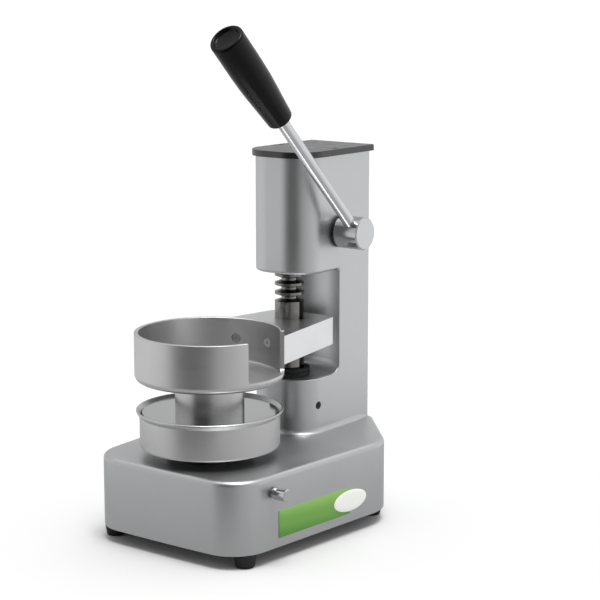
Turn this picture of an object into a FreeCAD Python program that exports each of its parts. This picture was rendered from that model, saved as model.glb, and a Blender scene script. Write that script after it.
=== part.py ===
"""Patty press: a hand-operated hamburger press on a cast housing.

A lever turns a pinion shaft in the head of the column. The pinion drives a round rack up and
down through two guide bushes, and an arm clamped to the rack carries the paper cup, the neck
and the press plate over the mould bowl. A rocker in the base follows the rack's foot and lifts
the ejector plate in the bowl. A spring-loaded pin locks the bowl's spigot to the base.

Frame: +Z up, -Y to the front, +X to the lever side. The origin lies on the floor under the
middle of the object's box. Heights are above the floor; "y" sizes run from the mould axis.
"""
import FreeCAD
import Part
import Sketcher
import math
import os
import re

V = FreeCAD.Vector
doc = FreeCAD.newDocument("PattyPress")

# --------------------------------------------------------------------------- sizes
SIZES = {
    # the mould axis in the part's frame
    "mould_y": -72.4,
    # base housing: plan corners (half widths and y), heights and walls
    "base_bottom": 13.4, "base_top": 84.5, "base_wall": 5.0, "base_roof": 6.0,
    "front_corner_x": 92.7, "front_corner_y": -70.6,
    "back_corner_x": 109.4, "back_corner_y": 144.0, "tail_x": 40.0, "tail_y": 219.0,
    "front_bow_radius": 2000.0, "front_corner_radius": 35.5, "back_corner_radius": 50.0,
    "tail_radius": 8.0, "base_edge_radius": 5.0, "cover_thick": 2.0,
    # feet
    "foot_x": 81.5, "foot_front_y": -48.0, "foot_back_y": 157.5,
    "foot_top_radius": 11.0, "foot_floor_radius": 9.0, "foot_pillar_radius": 9.0,
    # column casting: plan, window and cavities
    "column_half": 37.0, "column_front_y": 101.0, "column_back_y": 215.0,
    "column_nose_radius": 28.0, "column_back_radius": 2.0, "column_top": 364.8,
    "window_floor": 141.0, "window_roof": 248.0, "window_back_y": 160.5,
    "window_floor_radius": 9.0, "window_roof_radius": 3.5,
    "head_edge_radius": 3.4, "block_edge_radius": 1.2,
    "head_floor": 258.5, "head_wall": 6.0, "lid_thick": 6.2, "lid_overhang": 3.5,
    # rack, its guides and its stop
    "rack_y": 127.0, "rack_radius": 15.0, "rack_foot": 38.6, "rack_head": 323.0,
    "tooth_module": 3.0, "pinion_teeth": 16.0, "shaft_z": 287.0, "rack_plain_top": 217.6,
    "bush_outer_radius": 19.0, "running_gap": 0.05, "rack_relief_radius": 17.5,
    "guide_screw_z": 113.0, "guide_screw_radius": 4.0, "keyway_width": 6.0, "keyway_depth": 3.0,
    "bumper_radius": 20.6, "bumper_thick": 8.4,
    # lever shaft and lever
    "shaft_radius": 10.0, "hub_radius": 16.5, "hub_start": 40.5, "hub_end": 68.3,
    "shaft_bush_radius": 14.0, "pinion_half": 12.0,
    "lever_x": 57.0, "lever_angle": 44.5, "rod_radius": 6.0, "grip_start": 175.0,
    "grip_end": 286.5, "grip_radius": 16.5, "grip_neck_radius": 12.6,
    # arm
    "arm_bottom": 172.0, "arm_top": 200.0, "arm_root_half": 35.0, "arm_root_y": 156.0,
    "arm_tip_half": 59.0, "arm_tip_y": 22.0,
    # paper cup, neck and press plate
    "cup_outer_radius": 72.2, "cup_inner_radius": 68.2, "cup_screw_y": 67.4,
    "cup_screw_head": 4.6, "cup_top": 206.3, "cup_bottom": 159.5,
    "cup_floor_thick": 3.0, "cup_corner_radius": 6.0, "notch_sill": 167.6,
    "notch_from": -19.7, "notch_to": 37.0,
    "neck_radius": 33.5, "neck_wall": 4.0, "plate_radius": 65.6,
    "plate_bottom": 124.7, "plate_thick": 3.0,
    # mould bowl and its spigot
    "bowl_rim_z": 130.4, "bowl_bottom": 94.0, "bowl_inner_radius": 66.2, "bowl_wall": 1.8,
    "rim_outer_radius": 71.2, "rim_high": 5.6, "rim_thick": 1.6, "seat_ring_radius": 42.0,
    "spigot_flange_radius": 34.0,
    "spigot_radius": 31.0, "spigot_bottom": 61.5, "spigot_groove_radius": 22.0,
    "spigot_groove_bottom": 63.6, "spigot_groove_top": 73.0, "spigot_boss_radius": 36.5,
    "spigot_boss_bottom": 60.5,
    # ejector
    "ejector_plate_radius": 65.2, "ejector_plate_bottom": 105.5, "ejector_plate_thick": 2.0,
    "ejector_rod_radius": 6.0, "ejector_head_radius": 9.0, "ejector_bush_radius": 10.0,
    # rocker in the base
    "pivot_y": -54.0, "pivot_z": 30.0, "rocker_half_height": 6.0, "rocker_thick": 6.0,
    "drive_pin_z": 45.5, "drive_pin_radius": 3.0, "ejector_pin_radius": 2.5, "slot_gap": 0.6,
    # lock pin
    "lock_y": -24.0, "lock_z": 68.3, "lock_pin_radius": 4.0, "lock_tip_x": 12.0,
    "lock_wall_x": 97.0, "knob_end_x": 113.6, "knob_radius": 6.0,
    # label plate and badge
    "label_y": 35.0, "label_z": 35.4, "label_long": 103.0, "label_high": 26.4,
    "label_thick": 0.5, "badge_y": 86.5, "badge_z": 35.6, "badge_long": 48.0,
    "badge_high": 21.0, "badge_thick": 1.5,
}

sheet = doc.addObject("Spreadsheet::Sheet", "Sizes")
for row, (name, value) in enumerate(SIZES.items(), start=1):
    sheet.set("A%d" % row, name)
    sheet.set("B%d" % row, str(value))
    sheet.setAlias("B%d" % row, name)
doc.recompute()


def formula(text):
    """Put the sheet's name before every size in a formula."""
    return re.sub(r"[a-z_]+", lambda word: ("Sizes." if word.group() in SIZES else "") + word.group(),
                  str(text))


def number(text):
    """The value of a formula, in millimetres or degrees."""
    value = sheet.evalExpression(formula(text))
    return float(getattr(value, "Value", value))


nodes = []


def keep(thing, name):
    """Name a finished sub-part, which is written to a file of that name."""
    thing.Label = name
    nodes.append(thing)
    return thing


def put(thing, x=0, y=0, z=0, axis=(0, 0, 1), angle=0):
    """Place an object: x, y from the mould axis, z above the floor, then its turn about axis."""
    thing.Placement = FreeCAD.Placement(V(0, 0, 0), FreeCAD.Rotation(V(*axis), number(angle)))
    thing.setExpression("Placement.Base.x", formula(x))
    thing.setExpression("Placement.Base.y", formula("mould_y + (%s)" % y))
    thing.setExpression("Placement.Base.z", formula(z))
    return thing


ALONG_X = {"axis": (0, 1, 0), "angle": 90}


# --------------------------------------------------------------------------- sketches and features
def sketch_on(body, role, shift=0):
    """A sketch on one of the body's own origin planes, moved along the plane's normal."""
    sketch = body.newObject("Sketcher::SketchObject", body.Name + "_outline")
    plane = [face for face in body.Origin.OriginFeatures if face.Role == role][0]
    sketch.AttachmentSupport = (plane, [""])
    sketch.MapMode = "FlatFace"
    sketch.setExpression("AttachmentOffset.Base.z", formula(shift))
    return sketch


def fix_point(sketch, element, end, x, y):
    """Hold a sketch point at formulas x, y from the sketch's origin."""
    for kind, text, line in (("DistanceX", x, -2), ("DistanceY", y, -1)):
        if abs(number(text)) < 1e-9:
            sketch.addConstraint(Sketcher.Constraint("PointOnObject", element, end, line))
        else:
            index = sketch.addConstraint(
                Sketcher.Constraint(kind, -1, 1, element, end, number(text)))
            sketch.setExpression("Constraints[%d]" % index, formula(text))


def polygon(sketch, corners, bow=None):
    """A closed outline through corners given as pairs of formulas.

    With bow, the last side, back to the first corner, is an arc of that radius instead.
    """
    points = [V(number(x), number(y), 0) for x, y in corners]
    first = sketch.GeometryCount
    count = len(points)
    for i in range(count - 1 if bow else count):
        sketch.addGeometry(Part.LineSegment(points[i], points[(i + 1) % count]), False)
    if bow:
        half_chord = (points[0] - points[-1]).Length / 2
        rise = number(bow) - math.sqrt(number(bow) ** 2 - half_chord ** 2)
        crown = (points[0] + points[-1]) * 0.5 + V(0, -rise, 0)
        arc = sketch.addGeometry(Part.Arc(points[-1], crown, points[0]), False)
    for i in range(count):
        sketch.addConstraint(
            Sketcher.Constraint("Coincident", first + i, 2, first + (i + 1) % count, 1))
    for i, (x, y) in enumerate(corners):
        fix_point(sketch, first + i, 1, x, y)
    if bow:
        bound = sketch.addConstraint(Sketcher.Constraint("Radius", arc, number(bow)))
        sketch.setExpression("Constraints[%d]" % bound, formula(bow))


def circle(sketch, x, y, radius):
    """A circle held at its centre, with its radius from the sheet."""
    index = sketch.addGeometry(
        Part.Circle(V(number(x), number(y), 0), V(0, 0, 1), number(radius)), False)
    fix_point(sketch, index, 3, x, y)
    bound = sketch.addConstraint(Sketcher.Constraint("Radius", index, number(radius)))
    sketch.setExpression("Constraints[%d]" % bound, formula(radius))


def feature(body, kind, sketch, **settings):
    """A sketch-based feature; text settings become formulas."""
    made = body.newObject("PartDesign::" + kind, body.Name + "_" + kind.lower())
    made.Profile = sketch
    for name, value in settings.items():
        if name == "Length":
            made.setExpression(name, formula(value))
        else:
            setattr(made, name, value)
    doc.recompute()
    return made


def pad(body, sketch, length, **settings):
    """Add material along the sketch's normal."""
    return feature(body, "Pad", sketch, Length=length, **settings)


def pocket(body, sketch, length, **settings):
    """Remove material, and make sure that some went."""
    before = body.Shape.Volume
    made = feature(body, "Pocket", sketch, Length=length, **settings)
    if body.Shape.Volume > before - 1e-3:
        raise RuntimeError("a pocket in %s cuts nothing" % body.Label)
    return made


def rounded(body, radius, choose):
    """Round every edge that choose(edge) accepts."""
    doc.recompute()
    base = body.Tip
    names = ["Edge%d" % (i + 1) for i, edge in enumerate(base.Shape.Edges) if choose(edge)]
    if not names:
        raise RuntimeError("no edge to round in %s" % body.Label)
    made = body.newObject("PartDesign::Fillet", body.Name + "_round")
    made.Base = (base, names)
    made.setExpression("Radius", formula(radius))
    doc.recompute()
    return made


def new_body(name):
    """An empty part-design body."""
    body = doc.addObject("PartDesign::Body", name)
    body.Label = name
    return body


def lathe(name, profile, x=0, y=0, z=0, **turn):
    """A body turned from a profile of pairs (radius, height) about its own axis."""
    body = new_body(name)
    sketch = sketch_on(body, "XZ_Plane")
    polygon(sketch, profile)
    feature(body, "Revolution", sketch, ReferenceAxis=(sketch, ["V_Axis"]), Angle=360.0)
    return put(body, x, y, z, **turn)


def turned(name, profile, x=0, y=0, z=0, **turn):
    """A lathe-turned piece that is a sub-part of its own."""
    return keep(lathe(name, profile, x, y, z, **turn), name)


def tube(name, bore, outer, bottom, top, **place):
    """A plain ring or bush about its own axis."""
    return turned(name, [(bore, bottom), (outer, bottom), (outer, top), (bore, top)], **place)


def upright(x, y):
    """Accept the vertical edges that stand near x, y, in the body's own frame."""
    def test(edge):
        box = edge.BoundBox
        return (box.ZLength > 1 and box.XLength < 1e-3 and box.YLength < 1e-3
                and abs(abs(box.Center.x) - number(x)) < 0.5 and abs(box.Center.y - number(y)) < 0.5)
    return test


def level(z):
    """Accept the edges that lie flat at height z."""
    return lambda edge: edge.BoundBox.ZLength < 1e-3 and abs(edge.BoundBox.Center.z - number(z)) < 1e-3


def both_sides(right_half):
    """A symmetric outline from its right half, listed from front to back."""
    left = [("-(%s)" % x, y) for x, y in reversed(right_half) if abs(number(x)) > 1e-9]
    return list(right_half) + left


# --------------------------------------------------------------------------- primitives
def rod(radius, length, x=0, y=0, z=0, **turn):
    """A plain cylinder whose foot is at x, y, z."""
    made = doc.addObject("Part::Cylinder", "rod")
    made.setExpression("Radius", formula(radius))
    made.setExpression("Height", formula(length))
    return put(made, x, y, z, **turn)


def block(size_x, size_y, size_z, x=0, y=0, z=0):
    """A box centred on x and y, standing on z."""
    made = doc.addObject("Part::Box", "block")
    for side, text in (("Length", size_x), ("Width", size_y), ("Height", size_z)):
        made.setExpression(side, formula(text))
    return put(made, "(%s) - (%s) / 2" % (x, size_x), "(%s) - (%s) / 2" % (y, size_y), z)


def join(things):
    """One solid from several that touch."""
    made = doc.addObject("Part::MultiFuse", "joined")
    made.Shapes = things
    made.Refine = True
    return made


def cut(thing, tools):
    """The thing with every tool taken away, each of which has to meet it."""
    doc.recompute()
    for tool in tools:
        if thing.Shape.common(tool.Shape).Volume < 1e-3:
            raise RuntimeError("a cut in %s takes nothing away" % thing.Label)
    made = doc.addObject("Part::Cut", "cut")
    made.Base = thing
    made.Tool = join(tools) if len(tools) > 1 else tools[0]
    return made


def screws(name, places, shank, length, head, head_high, **turn):
    """Like socket-head screws as one group: places are the undersides of the heads."""
    group = []
    for x, y, z in places:
        shaft = rod(shank, "%s + 0.5" % length, 0, "-mould_y", "-(%s)" % length)
        cap = rod(head, head_high, 0, "-mould_y", 0)
        socket = doc.addObject("Part::Prism", "socket")
        socket.Polygon = 6
        socket.setExpression("Circumradius", formula("(%s) * 0.55" % shank))
        socket.setExpression("Height", formula(head_high))
        socket.Placement.Base = V(0, 0, number(head_high) * 0.45)
        whole = doc.addObject("Part::Cut", "screw")
        whole.Base = join([shaft, cap])
        whole.Tool = socket
        group.append(put(whole, x, y, z, **turn))
    made = doc.addObject("Part::Compound", name)
    made.Links = group
    return keep(made, name)


DOWNWARD = {"axis": (1, 0, 0), "angle": 180}


# --------------------------------------------------------------------------- base housing
def base_block(name, inset, bottom, top):
    """The base's plan, drawn in by inset and raised between two heights."""
    body = new_body(name)
    sketch = sketch_on(body, "XY_Plane", bottom)
    inset = "(%s)" % inset
    corners = [("front_corner_x - %s" % inset, "front_corner_y + %s" % inset),
               ("back_corner_x - %s" % inset, "back_corner_y"),
               ("tail_x - %s / 2" % inset, "tail_y - %s" % inset)]
    polygon(sketch, both_sides(corners), bow="front_bow_radius")
    pad(body, sketch, "(%s) - (%s)" % (top, bottom))
    for (x, y), radius in zip(corners, ("front_corner_radius", "back_corner_radius", "tail_radius")):
        rounded(body, "%s - %s" % (radius, inset), upright(x, y))
    return body


outside = base_block("base_outside", "0", "base_bottom", "base_top")
rounded(outside, "base_edge_radius", level("base_top"))
put(outside)
cavity = base_block("base_cavity", "base_wall", "base_bottom - 1", "base_top - base_roof")
put(cavity)
shell = cut(outside, [cavity])

FOOT_PLACES = [(side + "foot_x", y) for y in ("foot_front_y", "foot_back_y") for side in ("-", "")]
COLUMN_BOLTS = [("-26", 118), ("26", 118), ("-27", 202), ("27", 202)]
BRACKET_BOLTS = [("-12.5", "pivot_y"), ("12.5", "pivot_y")]
cover_top = "base_bottom + cover_thick"
roof_z = "base_top - base_roof"
pillars = [rod("foot_pillar_radius", "base_top - base_roof / 2 - (%s)" % cover_top, x, y, cover_top)
           for x, y in FOOT_PLACES]
spigot_boss = rod("spigot_boss_radius", "base_top - base_roof / 2 - spigot_boss_bottom",
                  0, 0, "spigot_boss_bottom")
lock_boss = rod(10, 12, "lock_wall_x - 13.5", "lock_y", "lock_z", **ALONG_X)
holes = [rod("spigot_radius + 0.3", 60, 0, 0, "spigot_boss_bottom - 10"),
         rod("rack_relief_radius + 0.5", 30, 0, "rack_y", "base_top - 20"),
         rod("lock_pin_radius + 0.15", 45, 0, "lock_y", "lock_z", **ALONG_X),
         rod(7, 30, "lock_wall_x - 20", "lock_y", "lock_z", **ALONG_X)]
holes += [rod(2.4, 22, x, y, cover_top) for x, y in FOOT_PLACES]
holes += [rod(4.2, 30, x, y, "base_top - 20") for x, y in COLUMN_BOLTS]
holes += [rod(2.0, 5, x, y, "%s - 1" % roof_z) for x, y in BRACKET_BOLTS]
keep(cut(join([shell, lock_boss, spigot_boss] + pillars), holes), "base_housing")

# The steel cover closes the base from below and is held by the feet's own screws.
cover_plan = base_block("cover_plan", "1.5", "base_bottom", cover_top)
put(cover_plan)
cover_rim = base_block("cover_rim", "base_wall + 0.3", "base_bottom - 1", "%s + 1" % cover_top)
put(cover_rim)
cover_sheet = doc.addObject("Part::Common", "cover_sheet")
cover_sheet.Base = cover_plan
cover_sheet.Tool = cover_rim
cover_holes = [rod(2.4, 10, x, y, "base_bottom - 4") for x, y in FOOT_PLACES]
keep(cut(cover_sheet, cover_holes), "bottom_cover")

FOOT_NAMES = ("foot_front_left", "foot_front_right", "foot_back_left", "foot_back_right")
for foot_name, (x, y) in zip(FOOT_NAMES, FOOT_PLACES):
    turned(foot_name, [(2.4, "base_bottom"), ("foot_top_radius", "base_bottom"),
                       ("foot_top_radius", "base_bottom - 2"), ("foot_floor_radius", 0.6),
                       ("foot_floor_radius - 0.6", 0), (5, 0), (5, 6), (2.4, 6)], x, y)
screws("foot_screws", [(x, y, 6) for x, y in FOOT_PLACES], 2.3, 26, 4.4, 3, **DOWNWARD)

# --------------------------------------------------------------------------- column casting
column = new_body("column_casting")
plan = sketch_on(column, "XY_Plane", "base_top")
polygon(plan, both_sides([("column_half", "column_front_y"), ("column_half", "column_back_y")]))
pad(column, plan, "column_top - base_top")
rounded(column, "column_nose_radius", upright("column_half", "column_front_y"))
rounded(column, "column_back_radius", upright("column_half", "column_back_y"))

# The window is open to the front and both sides; behind the rack it ends in a hollow round face
# that meets the column's sides at window_back_y.
window = sketch_on(column, "YZ_Plane")
polygon(window, [("column_front_y - 30", "window_floor"), ("window_back_y - 10", "window_floor"),
                 ("window_back_y - 10", "window_roof"), ("column_front_y - 30", "window_roof")])
pocket(column, window, 200, SideType="Symmetric")
hollow_radius = "sqrt(column_half ^ 2 + (window_back_y - rack_y) ^ 2)"
hollow = sketch_on(column, "XY_Plane", "window_floor")
circle(hollow, 0, "rack_y", hollow_radius)
pocket(column, hollow, "window_roof - window_floor", Reversed=True)

head_room = sketch_on(column, "XY_Plane", "column_top")
inner_half = "column_half - head_wall"
nose_y = "column_front_y + column_nose_radius"
lean = "(column_nose_radius - head_wall) * 0.7"
polygon(head_room, both_sides([
    ("column_half - column_nose_radius", "column_front_y + head_wall"),
    ("column_half - column_nose_radius + %s" % lean, "%s - %s" % (nose_y, lean)),
    (inner_half, nose_y), (inner_half, "column_back_y - head_wall")]))
pocket(column, head_room, "column_top - head_floor")

core = sketch_on(column, "XY_Plane", "head_floor + 1")
polygon(core, both_sides([(20, 181), (20, 195)]))
pocket(column, core, "head_floor + 1 - base_top - 20")

upper_bore = sketch_on(column, "XY_Plane", "head_floor + 1")
circle(upper_bore, 0, "rack_y", "bush_outer_radius")
pocket(column, upper_bore, "head_floor + 2 - window_roof")
lower_bore = sketch_on(column, "XY_Plane", "window_floor")
circle(lower_bore, 0, "rack_y", "bush_outer_radius")
pocket(column, lower_bore, "window_floor - guide_screw_z + 9")
relief = sketch_on(column, "XY_Plane", "window_floor - 20")
circle(relief, 0, "rack_y", "rack_relief_radius")
pocket(column, relief, "window_floor - 20 - base_top + 1")

shaft_bores = sketch_on(column, "YZ_Plane")
circle(shaft_bores, "rack_y + 36", "shaft_z", "shaft_bush_radius")
pocket(column, shaft_bores, 200, SideType="Symmetric")
screw_bore = sketch_on(column, "YZ_Plane")
circle(screw_bore, "rack_y", "guide_screw_z", "guide_screw_radius")
pocket(column, screw_bore, 60, Reversed=True)
bolt_holes = sketch_on(column, "XY_Plane", "base_top")
for x, y in COLUMN_BOLTS:
    circle(bolt_holes, x, y, 3.9)
pocket(column, bolt_holes, 20, Reversed=True)
lid_holes = sketch_on(column, "XY_Plane", "column_top")
LID_SCREWS = [("-33.8", 158), ("33.8", 158)]
for x, y in LID_SCREWS:
    circle(lid_holes, x, y, 1.5)
pocket(column, lid_holes, 12)


def hollow_edge(z):
    """Accept the round edge between the hollow face and the window's floor or roof."""
    return lambda edge: (level(z)(edge) and isinstance(edge.Curve, Part.Circle)
                         and abs(edge.Curve.Radius - number(hollow_radius)) < 1e-3)


def nose_edge(z):
    """Accept the outer edges of the column's nose at height z."""
    def test(edge):
        corner = isinstance(edge.Curve, Part.Circle) and abs(
            edge.Curve.Radius - number("column_nose_radius")) < 1e-3
        straight = not isinstance(edge.Curve, Part.Circle) and edge.BoundBox.YMax < number("window_back_y")
        return level(z)(edge) and (corner or straight)
    return test


rounded(column, "head_edge_radius", nose_edge("window_roof"))
rounded(column, "window_floor_radius", hollow_edge("window_floor"))
rounded(column, "block_edge_radius", nose_edge("window_floor"))
rounded(column, "window_roof_radius", hollow_edge("window_roof"))
put(column)
keep(column, "column_casting")
screws("column_bolts", [(x, y, roof_z) for x, y in COLUMN_BOLTS], 3.8, 24, 6.5, 8, **DOWNWARD)

lid = new_body("column_lid")
lid_plan = sketch_on(lid, "XY_Plane", "column_top")
polygon(lid_plan, both_sides([("column_half + lid_overhang", "column_front_y - lid_overhang"),
                              ("column_half + lid_overhang", "column_back_y + lid_overhang")]))
pad(lid, lid_plan, "lid_thick")
rounded(lid, "column_nose_radius + lid_overhang",
        upright("column_half + lid_overhang", "column_front_y - lid_overhang"))
rounded(lid, 2.5, upright("column_half + lid_overhang", "column_back_y + lid_overhang"))
rounded(lid, 0.8, level("column_top + lid_thick"))
lid_bores = sketch_on(lid, "XY_Plane", "column_top + lid_thick")
for x, y in LID_SCREWS:
    circle(lid_bores, x, y, 1.6)
pocket(lid, lid_bores, "lid_thick + 1")
lid_seats = sketch_on(lid, "XY_Plane", "column_top + lid_thick")
for x, y in LID_SCREWS:
    circle(lid_seats, x, y, 3.0)
pocket(lid, lid_seats, 2.2)
put(lid)
keep(lid, "column_lid")
screws("lid_screws", [(x, y, "column_top + lid_thick - 2.2") for x, y in LID_SCREWS], 1.45, 12, 2.8, 1.9)

bush_bore = "rack_radius + running_gap"
tube("upper_guide_bush", bush_bore, "bush_outer_radius", "window_roof + 0.5", "head_floor + 2",
     y="rack_y")
lower_bush = turned("lower_guide_bush",
                    [(bush_bore, "guide_screw_z - 9"), ("bush_outer_radius", "guide_screw_z - 9"),
                     ("bush_outer_radius", "window_floor"), (bush_bore, "window_floor")],
                    y="rack_y")
dog_hole = sketch_on(lower_bush, "YZ_Plane")
circle(dog_hole, 0, "guide_screw_z", "keyway_width / 2 - 0.2")
pocket(lower_bush, dog_hole, 40, Reversed=True)

# The guide screw's dog point runs in the rack's keyway and keeps the arm from turning.
turned("guide_screw",
       [(0, "rack_radius - 2.4"), ("keyway_width / 2 - 0.3", "rack_radius - 2.4"),
        ("keyway_width / 2 - 0.3", "bush_outer_radius"),
        ("guide_screw_radius - 0.05", "bush_outer_radius"),
        ("guide_screw_radius - 0.05", 30), (2, 30), (2, 26), (0, 26)],
       y="rack_y", z="guide_screw_z", **ALONG_X)
bumper = tube("bumper_ring", "rack_radius + 0.4", "bumper_radius", "window_floor",
              "window_floor + bumper_thick", y="rack_y")
rounded(bumper, 1.5, lambda edge: level("window_floor + bumper_thick")(edge)
        and edge.Curve.Radius > 18)

# --------------------------------------------------------------------------- lever shaft and lever
shaft_y = "rack_y + 36"
for side, name in ((-1, "shaft_bush_left"), (1, "shaft_bush_right")):
    tube(name, "shaft_radius + running_gap", "shaft_bush_radius", "%d * column_half" % side,
         "%d * (column_half - head_wall - 6)" % side, y=shaft_y, z="shaft_z", **ALONG_X)
shaft = lathe("shaft_blank",
               [(0, "-column_half - 4"), ("shaft_radius - 0.8", "-column_half - 4"),
                ("shaft_radius", "-column_half - 3.2"), ("shaft_radius", "-column_half - 2.2"),
                ("shaft_radius - 1.2", "-column_half - 2.2"),
                ("shaft_radius - 1.2", "-column_half - 0.8"),
                ("shaft_radius", "-column_half - 0.8"), ("shaft_radius", "hub_start"),
                ("hub_radius", "hub_start"), ("hub_radius", "hub_end - 1.2"),
                ("hub_radius - 1.2", "hub_end"), (0, "hub_end")],
               y=shaft_y, z="shaft_z", **ALONG_X)
# In the shaft's own frame its axis is Z, and its X side is the underside.
key_seat = sketch_on(shaft, "XZ_Plane", 0)
polygon(key_seat, [("shaft_radius - 3", "-pinion_half"), ("shaft_radius + 1", "-pinion_half"),
                   ("shaft_radius + 1", "pinion_half"), ("shaft_radius - 3", "pinion_half")])
pocket(shaft, key_seat, 6, SideType="Symmetric")

LEVER = {"x": "lever_x", "y": shaft_y, "z": "shaft_z", "axis": (1, 0, 0), "angle": "90 - lever_angle"}
keep(cut(shaft, [rod("rod_radius", 60, **LEVER)]), "pinion_shaft")
tube("shaft_washer", "shaft_radius + 0.1", "hub_radius - 0.5", "column_half + 0.5", "hub_start",
     y=shaft_y, z="shaft_z", **ALONG_X)
tube("shaft_circlip", "shaft_radius - 1.2", 12.5, "-column_half - 2.1", "-column_half - 0.9",
     y=shaft_y, z="shaft_z", **ALONG_X)
keep(block("2 * pinion_half", 6, 6, 0, shaft_y, "shaft_z - shaft_radius - 3"), "pinion_key")


def pinion_outline():
    """Corners of an involute pinion across its axis, with one tooth towards -Z.

    A flank's half angle at radius r is the half angle at the pitch circle, plus the involute of
    the pressure angle, minus the involute at r; below the base circle the flank is radial.
    """
    module, teeth = SIZES["tooth_module"], int(SIZES["pinion_teeth"])
    pitch_radius = module * teeth / 2
    pressure = math.radians(20)
    base_radius = pitch_radius * math.cos(pressure)
    side_play = 0.2

    def half_angle(radius):
        tilt = math.acos(min(1.0, base_radius / radius))
        return ((math.pi * module / 4 - side_play) / pitch_radius
                + math.tan(pressure) - pressure - math.tan(tilt) + tilt)

    root, tip, steps = pitch_radius - 1.25 * module, pitch_radius + module, 6
    radii = [root] + [base_radius + (tip - base_radius) * i / steps for i in range(steps + 1)]
    corners = []
    for tooth in range(teeth):
        middle = -math.pi / 2 + 2 * math.pi * tooth / teeth
        for side in (-1, 1):
            for radius in radii if side < 0 else reversed(radii):
                angle = middle + side * half_angle(radius)
                corners.append(V(0, radius * math.cos(angle), radius * math.sin(angle)))
    return corners


# The outline's first tooth points along -Z, so its two axes change places to turn it to the rack.
teeth_wire = Part.makePolygon([V(-SIZES["pinion_half"], point.z, point.y) for point in
                               pinion_outline() + pinion_outline()[:1]])
pinion_blank = Part.Face(teeth_wire).extrude(V(2 * SIZES["pinion_half"], 0, 0))
half = SIZES["pinion_half"]
pinion_bore = Part.makeCylinder(SIZES["shaft_radius"], 2 * half, V(-half, 0, 0), V(1, 0, 0))
pinion_slot = Part.makeBox(2 * half, 6, 6, V(-half, -3, -SIZES["shaft_radius"] - 3))
pinion = doc.addObject("Part::Feature", "drive_pinion")
pinion.Shape = pinion_blank.cut(pinion_bore.fuse(pinion_slot))
keep(put(pinion, 0, shaft_y, "shaft_z"), "drive_pinion")

turned("lever_rod", [(0, 3), ("rod_radius", 3), ("rod_radius", 231), ("rod_radius - 1", 232),
                     (0, 232)], **LEVER)
tube("grip_insert", "rod_radius", 9, 178, 236, **LEVER)
turned("lever_grip",
       [("rod_radius + 0.1", "grip_start"), ("grip_neck_radius - 1.6", "grip_start"),
        ("grip_neck_radius", "grip_start + 2"), ("grip_radius - 0.5", "grip_start + 46"),
        ("grip_radius", "grip_start + 56"), ("grip_radius", "grip_end - 4"),
        ("grip_radius - 1", "grip_end - 1.2"), ("grip_radius - 2.4", "grip_end"),
        ("grip_radius - 3.6", "grip_end"), ("grip_radius - 5", "grip_end - 2.4"),
        (0, "grip_end - 3.2"), (0, 236), (9, 236), (9, 178), ("rod_radius + 0.1", 178)], **LEVER)

# --------------------------------------------------------------------------- rack and arm
# Round teeth: every groove has 20 degree flanks about the pitch line one module under the crest.
pitch = "pi * tooth_module"
GROOVES = range(-7, 4)
rack_profile = [(0, "rack_foot"), ("rack_radius - 1", "rack_foot"), ("rack_radius", "rack_foot + 1")]
for k in GROOVES:
    middle = "shaft_z + %d * %s" % (k, pitch)
    crest_gap = "(%s / 4 + tooth_module * tan(20))" % pitch
    root_gap = "(%s / 4 - 1.25 * tooth_module * tan(20))" % pitch
    root = "rack_radius - 2.25 * tooth_module"
    rack_profile += [("rack_radius", "%s - %s" % (middle, crest_gap)),
                     (root, "%s - %s" % (middle, root_gap)),
                     (root, "%s + %s" % (middle, root_gap)),
                     ("rack_radius", "%s + %s" % (middle, crest_gap))]
rack_profile += [("rack_radius", "rack_head - 1"), ("rack_radius - 1", "rack_head"), (0, "rack_head")]
rack = turned("rack_rod", rack_profile, y="rack_y")
keyway = sketch_on(rack, "XZ_Plane")
polygon(keyway, [("rack_radius - keyway_depth", 80), ("rack_radius + 1", 80),
                 ("rack_radius + 1", "rack_plain_top"),
                 ("rack_radius - keyway_depth", "rack_plain_top")])
pocket(rack, keyway, "keyway_width", SideType="Symmetric")
fork = sketch_on(rack, "XZ_Plane")
polygon(fork, both_sides([("rocker_thick / 2 + 0.4", "rack_foot - 1"),
                          ("rocker_thick / 2 + 0.4", "drive_pin_z + 11")]))
pocket(rack, fork, 60, SideType="Symmetric")
pin_hole = sketch_on(rack, "YZ_Plane")
circle(pin_hole, 0, "drive_pin_z", "drive_pin_radius")
pocket(rack, pin_hole, 60, SideType="Symmetric")
keep(rod("drive_pin_radius", "2 * rack_radius - 2", "-rack_radius + 1", "rack_y", "drive_pin_z",
         **ALONG_X), "drive_pin")

arm = new_body("press_arm")
arm_plan = sketch_on(arm, "XY_Plane", "arm_bottom")
polygon(arm_plan, both_sides([("arm_tip_half", "arm_tip_y"), ("arm_root_half", "arm_root_y")]))
pad(arm, arm_plan, "arm_top - arm_bottom")
rounded(arm, 4, upright("arm_root_half", "arm_root_y"))
cup_seat = sketch_on(arm, "XY_Plane", "arm_top + 1")
circle(cup_seat, 0, 0, "cup_outer_radius")
pocket(arm, cup_seat, "arm_top - arm_bottom + 2")
rack_bore = sketch_on(arm, "XY_Plane", "arm_top + 1")
circle(rack_bore, 0, "rack_y", "rack_radius")
pocket(arm, rack_bore, "arm_top - arm_bottom + 2")
key_slot = sketch_on(arm, "XY_Plane", "arm_top + 1")
polygon(key_slot, [("rack_radius - 2", "rack_y - keyway_width / 2"),
                   ("rack_radius + keyway_depth", "rack_y - keyway_width / 2"),
                   ("rack_radius + keyway_depth", "rack_y + keyway_width / 2"),
                   ("rack_radius - 2", "rack_y + keyway_width / 2")])
pocket(arm, key_slot, "arm_top - arm_bottom + 2")
arm_middle = "(arm_top + arm_bottom) / 2"
grub_hole = sketch_on(arm, "YZ_Plane")
circle(grub_hole, "rack_y", arm_middle, 4)
pocket(arm, grub_hole, 60)
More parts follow.
